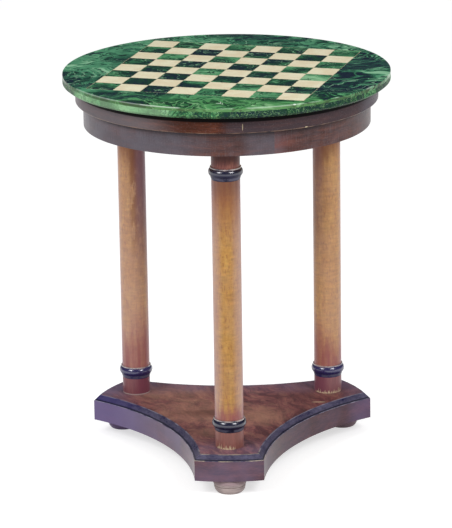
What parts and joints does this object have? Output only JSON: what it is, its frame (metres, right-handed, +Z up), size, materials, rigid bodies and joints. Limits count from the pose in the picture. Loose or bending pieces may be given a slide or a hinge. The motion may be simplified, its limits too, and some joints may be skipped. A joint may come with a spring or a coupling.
{
  "type": "chess table",
  "caption": "Round games table: a loose stone mosaic top inlaid as a chessboard, on a drum frieze and ring-turned columns that stand on a hollow-sided platform with bun feet.",
  "frame": {"origin": "on the floor, under the middle of the round top", "axes": "+Z up; the front column and the front foot lie towards -Y; +X is to the right seen from the front"},
  "size_m": [0.556, 0.556, 0.6744],
  "materials": {
    "malachite": "polished green banded stone",
    "cream_stone": "polished cream stone",
    "joint_cement": "dark olive cement",
    "slate": "sawn slate",
    "baize": "dark green baize",
    "carcase_wood": "planed softwood",
    "dark_mahogany": "dark polished mahogany",
    "honey_mahogany": "sun-faded polished mahogany",
    "red_mahogany": "red polished mahogany",
    "platform_wood": "dark polished mahogany",
    "ebonised_wood": "black stained and polished",
    "foot_wood": "worn turned hardwood"
  },
  "bodies": {
    "stand": {"baize_pad": "baize", "sub_top": "carcase_wood", "frieze_staves": "carcase_wood", "glue_blocks": "carcase_wood", "mitre_tongues": "carcase_wood", "lipping_segments": "dark_mahogany", "frieze_veneer": "dark_mahogany", "front_shaft": "honey_mahogany", "right_shaft": "honey_mahogany", "left_shaft": "honey_mahogany", "column_necks": "red_mahogany", "base_drums": "red_mahogany", "platform_veneer": "red_mahogany", "platform_arm_front": "platform_wood", "platform_arm_right": "platform_wood", "platform_arm_left": "platform_wood", "upper_rings": "ebonised_wood", "lower_rings": "ebonised_wood", "bevel_corners": "ebonised_wood", "bevel_sides": "ebonised_wood", "bun_feet": "foot_wood"},
    "peg": {"centre_peg": "carcase_wood"},
    "top": {"rim_tiles": "malachite", "border_front": "malachite", "border_right": "malachite", "border_back": "malachite", "border_left": "malachite", "green_squares": "malachite", "cream_squares": "cream_stone", "joint_cement": "joint_cement", "slab_core": "slate"}
  },
  "joints": [
    {"name": "top_turn", "type": "hinge", "parent": "stand", "child": "peg", "pos_m": [0, 0, 0.65], "axis": [0, 0, 1], "continuous": true},
    {"name": "top_lift", "type": "slide", "parent": "peg", "child": "top", "axis": [0, 0, 1], "range_m": [0, 0.12]}
  ]
}
